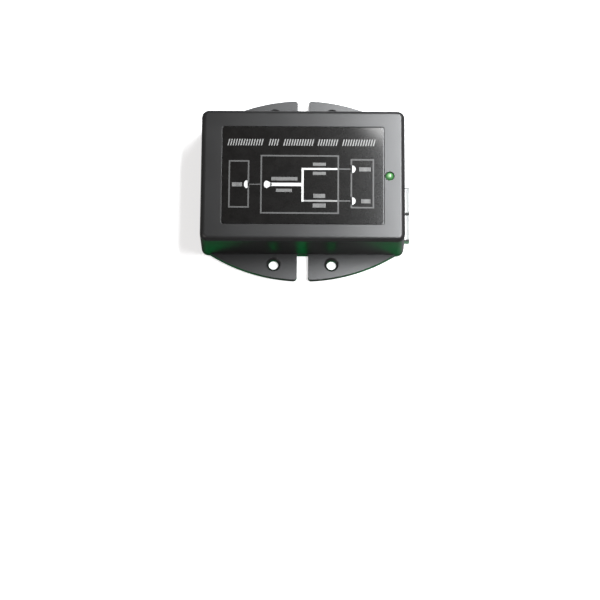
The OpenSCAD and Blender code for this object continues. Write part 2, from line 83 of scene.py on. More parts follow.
class Shader:
    """A material built from nodes; coordinates are the object's own, in metres."""

    def __init__(self, name, color, roughness, **inputs):
        self.material = bpy.data.materials.new(name)
        self.material.use_nodes = True
        self.tree = self.material.node_tree
        self.bsdf = self.tree.nodes["Principled BSDF"]
        self.bsdf.inputs["Base Color"].default_value = (*color, 1)
        self.bsdf.inputs["Roughness"].default_value = roughness
        for key, value in inputs.items():
            self.bsdf.inputs[key.replace("_", " ")].default_value = value
        self.coords = self.node("TexCoord", {}).outputs["Object"]

    def node(self, kind, inputs, **settings):
        """New node; each of the inputs is a constant or another node's output."""
        made = self.tree.nodes.new("ShaderNode" + kind)
        for key, value in settings.items():
            setattr(made, key, value)
        for key, value in inputs.items():
            target = made.inputs[key]
            if isinstance(value, bpy.types.NodeSocket):
                self.tree.links.new(value, target)
            else:
                target.default_value = (*value, 1) if target.type == "RGBA" else value
        return made

    def drive(self, name, source):
        """Links a node's output to one of the surface's own inputs."""
        self.tree.links.new(source, self.bsdf.inputs[name])

    def stretched(self, factors, shift=(0, 0, 0)):
        """Coordinates scaled and then shifted along each axis."""
        inputs = {"Scale": factors, "Location": shift, "Vector": self.coords}
        return self.node("Mapping", inputs).outputs["Vector"]

    def noise(self, size, detail=2, rough=0.55, coords=None):
        """Noise whose lumps are about size metres across."""
        inputs = {"Scale": 1 / size, "Detail": detail, "Roughness": rough, "Vector": coords or self.coords}
        return self.node("TexNoise", inputs).outputs["Fac"]

    def waves(self, size, distortion, direction):
        inputs = {"Scale": 1 / size, "Distortion": distortion, "Vector": self.coords}
        return self.node("TexWave", inputs, bands_direction=direction).outputs["Fac"]

    def spread(self, value, low, high, start=0.3, end=0.7):
        """Maps start to end onto low to high, and holds the value level outside."""
        inputs = {"Value": value, "From Min": start, "From Max": end, "To Min": low, "To Max": high}
        return self.node("MapRange", inputs).outputs["Result"]

    def math(self, operation, first, second):
        return self.node("Math", {0: first, 1: second}, operation=operation).outputs["Value"]

    def distance(self, place):
        """Length of a vector."""
        return self.node("VectorMath", {0: place}, operation="LENGTH").outputs["Value"]

    def blend(self, value, first, second):
        """Mix of two colours, each a constant or another node's output."""
        inputs = {"Factor": value, "A": first, "B": second}
        return self.node("Mix", inputs, data_type="RGBA").outputs["Result"]

    def color_from(self, value, first, second):
        self.drive("Base Color", self.blend(value, first, second))

    def rough_from(self, value, low, high):
        self.drive("Roughness", self.spread(value, low, high))

    def bump(self, value, depth):
        """Relief whose height is depth metres."""
        self.drive("Normal", self.node("Bump", {"Distance": depth, "Height": value}).outputs["Normal"])

    def edge_mask(self, radius):
        """1 along convex and concave edges, 0 on flat faces."""
        rounded = self.node("Bevel", {"Radius": radius}, samples=4).outputs["Normal"]
        flat = self.node("NewGeometry", {}).outputs["Normal"]
        likeness = self.node("VectorMath", {0: rounded, 1: flat}, operation="DOT_PRODUCT")
        return self.spread(likeness.outputs["Value"], 1, 0, 0.80, 0.995)


def plastic(name, color, worn, roughness, grain=0.00035, depth=6e-6, specular=0.5):
    """Moulded plastic with a spark-eroded grain, faint flow marks and rubbed edges."""
    shader = Shader(name, color, roughness, Specular_IOR_Level=specular)
    body = shader.blend(shader.spread(shader.noise(0.018), 0, 1), scaled(color, 0.86), color)
    patches = shader.spread(shader.noise(0.004, 4), 0, 0.6)
    rubbed = shader.math("MULTIPLY", shader.edge_mask(0.00025), patches)
    shader.color_from(rubbed, body, worn)
    shader.rough_from(shader.noise(0.015), roughness - 0.012, roughness + 0.012)
    shader.bump(shader.noise(grain, 2, 0.6), depth)
    return shader.material


def metal(name, color, roughness, streaks=(1, 1, 1)):
    """Plated metal with a fine drawn grain and a slightly cloudy polish."""
    shader = Shader(name, color, roughness, Metallic=1)
    lines = shader.noise(0.0002, 2, 0.5, shader.stretched(streaks))
    shader.color_from(shader.noise(0.0035), scaled(color, 0.90), color)
    shader.rough_from(lines, roughness - 0.02, roughness + 0.03)
    shader.bump(lines, 1.2e-7)
    return shader.material


def mottled(name, color, roughness, lumps, dark, pale, gloss, depth, streaks=(1, 1, 1), **inputs):
    """Surface whose colour, gloss and relief follow one noise of the given size, detail and roughness."""
    shader = Shader(name, color, roughness, **inputs)
    cloud = shader.noise(*lumps, shader.stretched(streaks))
    shader.color_from(cloud, dark, pale)
    shader.rough_from(cloud, *gloss)
    shader.bump(cloud, depth)
    return shader.material


def chip_ceramic(name, color):
    """Fired body of a small chip part, speckled and slightly rough."""
    return mottled(name, color, 0.4, (0.0004, 4, 0.7), scaled(color, 0.75), scaled(color, 1.15),
                   (0.3, 0.5), 1e-5)


def copper_turns():
    """Enamelled wire wound side by side round an upright drum, with shade painted into the grooves between
    turns.
    """
    shader = Shader("copper_turns", (0.62, 0.26, 0.10), 0.3, Metallic=0.85, Coat_Weight=0.5)
    turns = shader.waves(0.0016, 0.6, "Z")
    # painted shade: the colour follows the relief and darkens in the grooves between turns
    shader.color_from(turns, (0.25, 0.08, 0.03), (0.70, 0.32, 0.13))
    shader.bump(turns, 1.5e-4)
    return shader.material


def board_laminate():
    """Green solder mask over a woven laminate."""
    shader = Shader("board_solder_mask", (0.010, 0.075, 0.030), 0.32, Coat_Weight=0.3)
    shader.color_from(shader.noise(0.006, 3), (0.008, 0.060, 0.024), (0.013, 0.090, 0.037))
    shader.rough_from(shader.noise(0.002, 3), 0.28, 0.36)
    shader.bump(shader.waves(0.0012, 1, "DIAGONAL"), 2e-6)
    return shader.material


def board_trace():
    """The same mask where copper lies under it."""
    shader = Shader("board_trace_mask", (0.02, 0.15, 0.06), 0.30, Coat_Weight=0.35)
    cloud = shader.noise(0.003, 3)
    shader.color_from(cloud, (0.016, 0.120, 0.047), (0.026, 0.175, 0.072))
    shader.rough_from(cloud, 0.26, 0.34)
    shader.bump(shader.noise(0.0006), 2e-6)
    return shader.material


def label_film():
    """Dark printed film under a clear glossy face, faintly cloudy with wear."""
    shader = Shader("label_gloss_film", (0.006, 0.006, 0.006), 0.28, Specular_IOR_Level=0.08,
                    Coat_Weight=0.85, Coat_Roughness=0.10)
    cloud = shader.spread(shader.noise(0.005, 5, 0.7), 0, 1)
    shader.color_from(cloud, (0.0032, 0.0030, 0.0028), (0.0080, 0.0077, 0.0073))
    shader.rough_from(shader.noise(0.015), 0.27, 0.29)
    shader.bump(shader.noise(0.00018, 2, 0.6), 3e-6)
    return shader.material


def ink(name, color):
    """Screen-printed ink: slightly uneven cover and a dry surface."""
    shader = Shader(name, color, 0.5, Specular_IOR_Level=0.3)
    speck = shader.noise(0.0004, 4, 0.7)
    shader.color_from(shader.spread(speck, 0, 1), scaled(color, 0.82), color)
    shader.rough_from(speck, 0.42, 0.58)
    shader.bump(speck, 6e-6)
    return shader.material


def led_epoxy():
    """Tinted epoxy that glows round the die under the tip of its dome."""
    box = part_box("status_led")
    shader = Shader("led_epoxy", (0.01, 0.10, 0.02), 0.16, Coat_Weight=0.5)
    offset = {0: shader.coords, 1: (*middle_of(box), box[1].z)}
    away = shader.distance(shader.node("VectorMath", offset, operation="SUBTRACT").outputs["Vector"])
    core = shader.spread(away, 1, 0, 0.0004, 0.0014)
    halo = shader.spread(away, 0.15, 0, 0.0012, 0.0050)
    glow = shader.math("ADD", shader.math("MULTIPLY", core, 0.50), halo)
    shader.drive("Emission Strength", glow)
    shader.drive("Emission Color", shader.blend(core, (0.34, 0.90, 0.34), (0.74, 1, 0.62)))
    shader.color_from(shader.noise(0.001), (0.020, 0.085, 0.024), (0.030, 0.120, 0.035))
    shader.rough_from(shader.noise(0.003), 0.13, 0.19)
    return shader.material


def add_materials():
    """Every material of the object, under the short name that the script uses for it."""
    satin = 1.5e-6
    return {
        "case": plastic("case_satin", (0.0165, 0.0163, 0.0164), (0.05, 0.05, 0.051), 0.335, depth=satin),
        "base": plastic("base_satin", (0.012, 0.012, 0.0123), (0.045, 0.045, 0.046), 0.38, depth=satin,
                        specular=0.9),
        "jack": plastic("jack_plastic", (0.016, 0.016, 0.017), (0.05, 0.05, 0.05), 0.32, depth=4e-6),
        "insert": plastic("insert_plastic", (0.035, 0.035, 0.037), (0.08, 0.08, 0.08), 0.5),
        "white": plastic("usb_natural_plastic", (0.36, 0.36, 0.34), (0.45, 0.45, 0.43), 0.42),
        "bobbin": plastic("bobbin_phenolic", (0.030, 0.026, 0.022), (0.07, 0.06, 0.05), 0.5),
        "package": plastic("package_epoxy", (0.018, 0.018, 0.019), (0.05, 0.05, 0.05), 0.55, grain=0.0001),
        "fuse": plastic("fuse_cap", (0.15, 0.045, 0.02), (0.22, 0.08, 0.04), 0.35),
        "steel": metal("screw_steel", (0.60, 0.59, 0.56), 0.32),
        "usb_steel": metal("usb_plated_steel", (0.41, 0.42, 0.41), 0.34, (0.15, 1, 1)),
        "gold": metal("contact_gold", (0.90, 0.66, 0.27), 0.22, (0.1, 1, 1)),
        "tin": metal("tinned_metal", (0.70, 0.70, 0.68), 0.34),
        "ferrite": mottled("ferrite", (0.045, 0.045, 0.048), 0.45, (0.0003, 4, 0.7), (0.03, 0.03, 0.032),
                           (0.07, 0.07, 0.074), (0.35, 0.6), 2e-5, Specular_IOR_Level=0.6),
        "tape": mottled("winding_tape", (0.78, 0.55, 0.09), 0.3, (0.0012, 2, 0.5), (0.62, 0.40, 0.05),
                        (0.82, 0.60, 0.12), (0.22, 0.4), 6e-5, (0.1, 0.1, 1), Coat_Weight=0.3),
        "copper": copper_turns(),
        "sleeve": mottled("capacitor_sleeve", (0.012, 0.016, 0.05), 0.28, (0.002, 3, 0.6),
                          (0.008, 0.011, 0.035), (0.02, 0.026, 0.075), (0.2, 0.36), 4e-5,
                          (1, 1, 0.35), Coat_Weight=0.4),
        "can": metal("capacitor_can_top", (0.70, 0.70, 0.70), 0.38),
        "stripe": ink("capacitor_stripe_ink", (0.34, 0.35, 0.38)),
        "trace": board_trace(),
        "silkscreen": ink("board_silkscreen", (0.52, 0.52, 0.49)),
        "board": board_laminate(),
        "ceramic": chip_ceramic("chip_ceramic", (0.40, 0.27, 0.15)),
        "resistor": chip_ceramic("chip_resistor", (0.02, 0.02, 0.025)),
        "label": label_film(),
        "ink": ink("label_white_ink", (0.62, 0.62, 0.61)),
        "word_ink": ink("label_word_ink", (0.27, 0.27, 0.265)),
        "grey_ink": ink("label_grey_ink", (0.085, 0.085, 0.084)),
        "led": led_epoxy(),
    }


# Mesh tools

CORNERS = ((1, 1), (-1, 1), (-1, -1), (1, -1))


def arc_points(centre, radius, start, end, steps):
    """Points along an arc; angles in degrees, anticlockwise from the first axis."""
    points = []
    for i in range(steps + 1):
        angle = math.radians(start + (end - start) * i / steps)
        points.append((centre[0] + radius * math.cos(angle), centre[1] + radius * math.sin(angle)))
    return points


def plan_loop(half_x, half_y, radius, z, centre=(0, 0), steps=8):
    """Points of a rounded rectangle at one height, anticlockwise from above."""
    points = []
    for i, (sx, sy) in enumerate(CORNERS):
        middle = (centre[0] + sx * (half_x - radius), centre[1] + sy * (half_y - radius))
        points += [(x, y, z) for x, y in arc_points(middle, radius, 90 * i, 90 * (i + 1), steps)]
    return points


def turned(profile, centre=(0, 0), steps=48):
    """Circles of a lathe form from (radius, height) pairs, lowest first."""
    return [[(x, y, z) for x, y in arc_points(centre, r, 0, 360, steps)[:-1]] for r, z in profile]


def add_loft(bm, loops, closed=False):
    """Skin through loops of equal length: its ends are capped, or joined to each other if it is closed."""
    rings = [[bm.verts.new(p) for p in loop] for loop in loops]
    pairs = list(zip(rings, rings[1:]))
    if closed:
        pairs.append((rings[-1], rings[0]))
    for lower, upper in pairs:
        count = len(lower)
        for i in range(count):
            j = (i + 1) % count
            bm.faces.new((lower[i], lower[j], upper[j], upper[i]))
    if not closed:
        bm.faces.new(list(reversed(rings[0])))
        bm.faces.new(rings[-1])


def add_strip(bm, path, thick, width, y):
    """Bent strip whose path lies in X and Z; thick and width are its section."""
    loops = []
    for i, (x, z) in enumerate(path):
        before = Vector(path[max(i - 1, 0)])
        after = Vector(path[min(i + 1, len(path) - 1)])
        along = (after - before).normalized()
        side = Vector((-along.y, along.x)) * thick / 2
        loops.append([(x + over * side.x, y + across * width / 2, z + over * side.y)
                      for over, across in CORNERS])
    add_loft(bm, loops)


def add_box(bm, low, high):
    size = Vector(high) - Vector(low)
    middle = (Vector(high) + Vector(low)) / 2
    matrix = Matrix.Translation(middle) @ Matrix.Diagonal((*size, 1))
    bmesh.ops.create_cube(bm, size=1, matrix=matrix)


def as_object(name, bm):
    """Ends a bmesh: its faces are turned outwards and become an object's mesh."""
    bmesh.ops.recalc_face_normals(bm, faces=bm.faces)
    mesh = bpy.data.meshes.new(name)
    bm.to_mesh(mesh)
    bm.free()
    made = bpy.data.objects.new(name, mesh)
    scene.collection.objects.link(made)
    return made


def loft(name, loops, closed=False):
    bm = bmesh.new()
    add_loft(bm, loops, closed)
    return as_object(name, bm)


def box_object(name, low, high):
    bm = bmesh.new()
    add_box(bm, low, high)
    return as_object(name, bm)


def rod_object(name, radius, low_z, high_z, centre, steps):
    return loft(name, turned([(radius, low_z), (radius, high_z)], centre, steps))


def islands(node):
    """(lowest corner, highest corner) of each separate solid of a CAD node, from left to right."""
    bm = bmesh.new()
    bm.from_mesh(nodes[node].data)
    bmesh.ops.remove_doubles(bm, verts=bm.verts, dist=0.001 * MM)
    left = set(bm.verts)
    boxes = []
    while left:
        group = [left.pop()]
        for vert in group:
            near = left.intersection(edge.other_vert(vert) for edge in vert.link_edges)
            left -= near
            group += near
        places = [vert.co for vert in group]
        boxes.append((Vector(map(min, zip(*places))), Vector(map(max, zip(*places)))))
    bm.free()
    return sorted(boxes, key=lambda box: (round(box[0].x, 5), round(box[0].y, 5)))


def middle_of(box):
    return ((box[0].x + box[1].x) / 2, (box[0].y + box[1].y) / 2)


def half_of(box):
    return ((box[1].x - box[0].x) / 2, (box[1].y - box[0].y) / 2)


def place(obj, x, y, z, turn=0, axis="Z"):
    """Turns and moves the object's mesh, so that the object itself stays at the origin."""
    obj.data.transform(Matrix.Translation((x, y, z)) @ Matrix.Rotation(turn, 4, axis))
    obj.data.update()
    return obj


def bake(obj):
    """Replaces the object's mesh by what its modifiers make of it."""
    graph = bpy.context.evaluated_depsgraph_get()
    mesh = bpy.data.meshes.new_from_object(obj.evaluated_get(graph))
    obj.modifiers.clear()
    obj.data = mesh


def combine(obj, others, operation="DIFFERENCE"):
    """Booleans the others into the object, one by one, and removes them."""
    for other in others:
        step = obj.modifiers.new("combine", "BOOLEAN")
        step.operation = operation
        step.solver = "EXACT"
        step.object = other
        bpy.context.view_layer.update()
        bake(obj)
        bpy.data.objects.remove(other)


def add_bevel(obj, width, angle, segments=2):
    step = obj.modifiers.new("edges", "BEVEL")
    step.width = width
    step.segments = segments
    step.limit_method = "ANGLE"
    step.angle_limit = math.radians(angle)
    return step


def round_edges(obj, width, segments=2):
    add_bevel(obj, width, 50, segments)
    bake(obj)


def soften(obj, width):
    """Gives a CAD node clean faces and small rounded edges, by modifiers only."""
    weld = obj.modifiers.new("weld", "WELD")
    weld.merge_threshold = 0.002 * MM
    flat = obj.modifiers.new("flat", "DECIMATE")
    flat.decimate_type = "DISSOLVE"
    flat.angle_limit = math.radians(0.5)
    add_bevel(obj, width, 35).harden_normals = True


def smooth(obj, angle):
    """Smooth shading that keeps large flat faces flat right up to their rounded edges."""
    for face in obj.data.polygons:
        face.use_smooth = True
    obj.data.set_sharp_from_angle(angle=math.radians(angle))
    step = obj.modifiers.new("weighted", "WEIGHTED_NORMAL")
    step.keep_sharp = True
    step.weight = 60


def dress(obj, look):
    obj.data.materials.clear()
    obj.data.materials.append(materials[look])


def finish_piece(obj, look, body, slot, *replaced, angle=None):
    """Dresses a piece, hangs it on its body and hides the nodes it replaces; edges sharper than angle stay
    sharp, and without one every face stays flat.
    """
    if angle is not None:
        smooth(obj, angle)
    dress(obj, look)
    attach(obj, body)
    if replaced:
        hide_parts(*replaced)


# Case

WALL = 2 * MM
CORNER_R = 3.5 * MM
EDGE_R = 2.3 * MM
EDGE_STEPS = 9
LIP = 0.2 * MM
RECESS_R = 0.9 * MM
RECESS_SINK = 0.5 * MM
RECESS_GAP = 0.15 * MM
RECESS_FILLET = 0.28 * MM
BOSS_R = 3.5 * MM
BOSS_FOOT = 4.7 * MM
BORE_R = 1.55 * MM
NOTCH_GAP = 0.25 * MM
LIGHT_R = 2 * MM
LIGHT_GAP = 0.2 * MM
CASE_HEAD = (2.8 * MM, 1.8 * MM)
CASE_THREAD = (1.45 * MM, 1.1 * MM)


def notch_cutter(housings, wall_x):
    """Box that opens the cover's end wall from below, round one or more connectors."""
    boxes = [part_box(h) for h in housings]
    low_y = min(b[0].y for b in boxes) - NOTCH_GAP
    high_y = max(b[1].y for b in boxes) + NOTCH_GAP
    top = max(b[1].z for b in boxes) + NOTCH_GAP
    return box_object("notch", (wall_x - 2 * WALL, low_y, 0), (wall_x + 2 * WALL, high_y, top))


def cover_loops(hx, hy, bottom, top):
    """Ceiling, inner wall, lower rim, outer wall, rounded top edge and label recess, in one run."""
    inner_x, inner_y, inner_r = hx - WALL, hy - WALL, CORNER_R - WALL
    loops = [plan_loop(inner_x, inner_y, inner_r, top - WALL),
             plan_loop(inner_x, inner_y, inner_r, bottom + LIP),
             plan_loop(inner_x + LIP, inner_y + LIP, inner_r + LIP, bottom),
             plan_loop(hx - LIP, hy - LIP, CORNER_R - LIP, bottom),
             plan_loop(hx, hy, CORNER_R, bottom + LIP)]
    for across, rise in arc_points((0, top - EDGE_R), EDGE_R, 0, 90, EDGE_STEPS):
        inset = EDGE_R - across
        loops.append(plan_loop(hx - inset, hy - inset, CORNER_R - inset, rise))
    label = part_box("face_label")
    half_x, half_y = (size + RECESS_GAP for size in half_of(label))
    centre = middle_of(label)
    lip_arc = arc_points((RECESS_FILLET, top - RECESS_FILLET), RECESS_FILLET, 90, 180, 3)
    for out, z in lip_arc + [(0, top - RECESS_SINK)]:
        loops.append(plan_loop(half_x + out, half_y + out, RECESS_R + out, z, centre))
    return loops


def add_cover():
    """Cover with its four screw bosses, the hole for the light and a notch for each connector group."""
    low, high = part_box("upper_shell")
    top = high.z
    cover = loft("cover", cover_loops(high.x, high.y, low.z, top))
    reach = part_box("case_screws")[1]
    places = [(sx * (reach.x - CASE_HEAD[0]), sy * (reach.y - CASE_HEAD[0])) for sx, sy in CORNERS]
    boss_top = top - WALL + 0.4 * MM
    combine(cover, [rod_object("boss", BOSS_R, BOSS_FOOT, boss_top, at, 40) for at in places], "UNION")
    combine(cover, [rod_object("bore", BORE_R, 4 * MM, top - 8 * MM, at, 24) for at in places])
    light_at = middle_of(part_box("status_led"))
    combine(cover, [rod_object("light_hole", LIGHT_R + LIGHT_GAP, top - 2 * WALL, top + WALL, light_at, 48),
                    notch_cutter(["poe_jack_housing"], -high.x),
                    notch_cutter(["lan_jack_housing"], high.x),
                    notch_cutter(["usb_front_shell", "usb_rear_shell"], high.x)])
    round_edges(cover, 0.16 * MM)
    finish_piece(cover, "case", "cover", "case_plastic", "upper_shell", angle=30)


# Label

def add_label():
    """Film with rounded corners and a softly turned edge; gives back the height of its face."""
    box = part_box("face_label")
    half_x, half_y = half_of(box)
    high_z = box[1].z
    turn = 0.1 * MM
    loops = []
    for inset, radius, z in ((0, RECESS_R, box[0].z), (0, RECESS_R, high_z - turn),
                             (0.4 * turn, RECESS_R, high_z - 0.3 * turn),
                             (2 * turn, RECESS_R - turn, high_z)):
        loops.append(plan_loop(half_x - inset, half_y - inset, radius, z, middle_of(box)))
    finish_piece(loft("label", loops), "label", "cover", "label_film", "face_label", angle=32)
    return high_z


class Print:
    """Flat ink shapes, a hair above a surface, gathered in one mesh; places are in millimetres."""

    def __init__(self, name, z, look, body="cover", slot="label_film", thick=0.02):
        self.name, self.look, self.body, self.slot = name, look, body, slot
        self.levels = (z - 0.01 * MM, z + thick * MM)
        self.bm = bmesh.new()

    def shape(self, points):
        """Thin closed prism over an outline, anticlockwise."""
        add_loft(self.bm, [[(x * MM, y * MM, z) for x, y in points] for z in self.levels])

    def bar(self, x0, x1, y0, y1, slant=0):
        self.shape([(x0, y0), (x1, y0), (x1 + slant, y1), (x0 + slant, y1)])

    def patch(self, x, y, half_x, half_y):
        self.bar(x - half_x, x + half_x, y - half_y, y + half_y)

    def frame(self, x0, x1, y0, y1, w):
        """Outline of a block as four bars that don't overlap."""
        for y in (y0, y1):
            self.bar(x0 - w / 2, x1 + w / 2, y - w / 2, y + w / 2)
        for x in (x0, x1):
            self.bar(x - w / 2, x + w / 2, y0 + w / 2, y1 - w / 2)

    def bead(self, x, y, rx, ry, tail=0, start=0, sweep=360, steps=28):
        """Oval blob or part of one; its right side is drawn out by tail."""
        points = []
        for across, rise in arc_points((0, 0), 1, start, start + sweep, steps):
            reach = rx + tail * max(across, 0) ** 4
            points.append((x + reach * across, y + ry * rise))
        self.shape(points[:-1] if sweep == 360 else points)

    def track(self, points, width):
        """Ribbon of even width along a bent line."""
        left, right = [], []
        for i, point in enumerate(points):
            here = Vector(point)
            ways = []
            if i > 0:
                ways.append((here - Vector(points[i - 1])).normalized())
            if i < len(points) - 1:
                ways.append((Vector(points[i + 1]) - here).normalized())
            sides = [Vector((-w.y, w.x)) for w in ways]
            mitre = sum(sides, Vector((0, 0))).normalized()
            mitre *= width / 2 / mitre.dot(sides[0])
            left.append(tuple(here + mitre))
            right.append(tuple(here - mitre))
        self.shape(right + left[::-1])

    def ring(self, x, y, r, width, start=0, sweep=359.5, steps=36):
        """Band along an arc; a full turn stops just short of closing."""
        end = start + sweep
        outer, inner = (arc_points((x, y), r + side * width / 2, start, end, steps) for side in (1, -1))
        self.shape(outer + inner[::-1])

    def word(self, x, y, width, height, stroke, slant=0, spacing=1.8):
        """Row of even strokes, centred on a point, where the real label has a word."""
        pitch = spacing * stroke
        count = max(2, round(width / pitch))
        left = x - pitch * (count - 0.5) / 2
        for i in range(count):
            self.bar(left, left + stroke, y - height / 2, y + height / 2, slant * height)
            left += pitch

    def done(self):
        finish_piece(as_object(self.name, self.bm), self.look, self.body, self.slot)


OUTPUT_Y, DATA_Y, POWER_Y = -4.9, 2.8, -12.8
# x, y, width, height and stroke of each word, in millimetres
LABEL_WORDS = [(-30.6, -5, 5, 2, 0.3), (-8.6, -2.1, 12.4, 1.7, 0.26), (-8.8, -7.8, 7.4, 1.5, 0.26),
               (7.6, 5.1, 6.2, 1.5, 0.26), (7.6, 0.6, 6.2, 1.5, 0.26), (7.6, -10.4, 5.6, 2, 0.28),
               (7.6, -15.1, 6.2, 2, 0.28), (28.8, 2.7, 5.4, 2, 0.3), (29.2, -12.9, 4.4, 2, 0.3)]
# x and width of each word of the title, in millimetres
TITLE_WORDS = [(-27.2, 16.8), (-14, 5.2), (-2.4, 14.8), (11.2, 9.2), (25.6, 15.4)]


def add_print(z):
    """Block diagram of the label: output at the left, converter, data and power inputs at the right."""
    grey = Print("label_blocks", z, "grey_ink")
    for x0, x1, y0, y1 in ((-34.2, -25.3, -16, 6.5), (-19.4, 16.4, -18.8, 9.2), (22.5, 32.7, -16, 7.4)):
        grey.frame(x0, x1, y0, y1, 0.7)
    grey.bar(-24.9, -19.8, OUTPUT_Y - 0.2, OUTPUT_Y + 0.2)
    for y in (DATA_Y, POWER_Y):
        grey.bar(16.8, 22.1, y - 0.3, y + 0.3)
    grey.done()
    white = Print("label_diagram", z, "ink")
    white.bead(-26.2, OUTPUT_Y, 1.15, 1.9)
    white.bead(-16.9, OUTPUT_Y, 1.2, 1.8, 1.4)
    white.bar(-15.2, -0.7, OUTPUT_Y - 0.8, OUTPUT_Y + 0.8)
    white.bar(-0.65, 0.35, POWER_Y - 0.45, DATA_Y + 0.45)
    white.bar(0.4, 16, DATA_Y - 0.45, DATA_Y + 0.45)
    for y in (DATA_Y, POWER_Y):
        white.bead(22.2, y, 2.3, 2, start=-90, sweep=180, steps=14)
    white.done()
    words = Print("label_words", z, "word_ink")
    words.bar(0.4, 16, POWER_Y - 0.4, POWER_Y + 0.4)
    for word in LABEL_WORDS:
        words.word(*word)
    words.done()
    title = Print("label_title", z, "word_ink")
    for x, width in TITLE_WORDS:
        title.word(x, 15.8, width, 3.2, 0.52, 0.24, 2.3)
    title.done()


# CAD nodes that keep their shape

# width of the edge rounding in millimetres, by material and node
CAD_LOOKS = {
    "base": {"base_plate": 0.2},
    "board": {"circuit_board": 0.06},
    "insert": {"poe_jack_insert": 0.12, "lan_jack_insert": 0.12},
    "white": {"usb_front_insulator": 0.1, "usb_rear_insulator": 0.1},
    "gold": {"poe_jack_wires": 0.04, "poe_jack_fingers": 0.04, "lan_jack_wires": 0.04,
             "lan_jack_fingers": 0.04, "usb_front_tails": 0.03, "usb_front_fingers": 0.03,
             "usb_rear_tails": 0.03, "usb_rear_fingers": 0.03},
    "tin": {"led_leads": 0.04, "magnetics_leads": 0.03, "controller_leads": 0.03, "transistor_tab": 0.05},
    "package": {"magnetics_module": 0.2, "controller_chip": 0.1, "rectifier_diode": 0.15},
    "ferrite": {"transformer_core": 0.25, "inductor_core": 0.2},
    "bobbin": {"transformer_bobbin": 0.08},
    "fuse": {"fuse": 0.3},
    "ceramic": {"ceramic_capacitors": 0.08},
    "resistor": {"chip_resistors": 0.04},
}


def dress_cad_nodes():
    for look, widths in CAD_LOOKS.items():
        for name, width in widths.items():
            dress(nodes[name], look)
            soften(nodes[name], width * MM)


# Status light

def add_status_led():
    """Flanged barrel with a domed tip; its flange has the usual flat."""
    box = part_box("status_led")
    low, high = box
    at = middle_of(box)
    flange_r = half_of(box)[0]
    flange_top = low.z + 1 * MM
    turn = 0.12 * MM
    profile = [(flange_r - turn, low.z), (flange_r, low.z + turn), (flange_r, flange_top - turn),
               (flange_r - turn, flange_top), (LIGHT_R + turn, flange_top), (LIGHT_R, flange_top + turn)]
    profile += arc_points((0, high.z - LIGHT_R), LIGHT_R, 0, 88, 14)
    led = loft("status_light", turned(profile, at))
    flat = box_object("flat", (at[0] - 2 * LIGHT_R, at[1] - 2 * LIGHT_R, low.z - MM),
                      (at[0] + 2 * LIGHT_R, at[1] - LIGHT_R - 0.05 * MM, flange_top + 0.05 * MM))
    combine(led, [flat])
    finish_piece(led, "led", "base", "led_lens", "status_led", angle=40)


# Power sockets

USB_H = 5.72 * MM
USB_T = 0.3 * MM
USB_LEN = 14 * MM
USB_LIP = 0.40 * MM
USB_CORNER_R = 0.9 * MM
USB_WINDOWS = (-3.1 * MM, 3.1 * MM)
WINDOW_HALF = 1.15 * MM
WINDOW_X = (3.6 * MM, 9 * MM)
LEAF_T = 0.22 * MM
LEAF_W = 1.7 * MM
# distance from the mouth and drop below the roof, in millimetres
LEAF_PATH = [(9.1, 0), (8.4, 0.04), (6.4, 0.45), (5, 0.62), (4.2, 0.30)]
TABS_AT = (6.2 * MM, 11.2 * MM)
TAB_W = 1.6 * MM


def usb_skin(half_w, half_h):
    """Loops from the flared mouth to the open back, then back along the inside; local X runs inwards."""
    stations = [(0, USB_LIP), (0.8 * MM, 0.62 * USB_LIP), (1.4 * MM, 0.2 * USB_LIP), (1.9 * MM, 0),
                (USB_LEN, 0)]
    loops = []
    for sink, run in ((0, stations), (USB_T, stations[::-1])):
        for x, flare in run:
            outline = plan_loop(half_w - sink, half_h + flare - sink, USB_CORNER_R - sink, x,
                                (0, USB_H / 2), 4)
            loops.append([(x, y, z) for y, z, x in outline])
    return loops


def add_usb_shell(node):
    """Stamped and rolled shell: flared lips, leaf springs in the roof and four board tabs."""
    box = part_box(node)
    low, high = box
    half_w = half_of(box)[1]
    half_h = (USB_H - USB_LIP) / 2
    shell = loft(node + "_sheet", usb_skin(half_w, half_h), closed=True)
    combine(shell, [box_object("window", (WINDOW_X[0], y - WINDOW_HALF, USB_H - MM),
                               (WINDOW_X[1], y + WINDOW_HALF, USB_H + MM)) for y in USB_WINDOWS])
    bm = bmesh.new()
    bm.from_mesh(shell.data)
    roof = USB_H / 2 + half_h - USB_T / 2
    for y in USB_WINDOWS:
        add_strip(bm, [(x * MM, roof - drop * MM) for x, drop in LEAF_PATH], LEAF_T, LEAF_W, y)
    tab_low = low.z - (high.z - USB_H)
    for x in TABS_AT:
        for side in (-1, 1):
            y = side * (half_w - USB_T / 2)
            add_box(bm, (x, y - USB_T / 2, tab_low), (x + TAB_W, y + USB_T / 2, 1.2 * MM))
    bm.to_mesh(shell.data)
    bm.free()
    place(shell, high.x, middle_of(box)[1], high.z - USB_H, math.pi)
    finish_piece(shell, "usb_steel", "base", "usb_steel", node, angle=40)


# Modular jacks

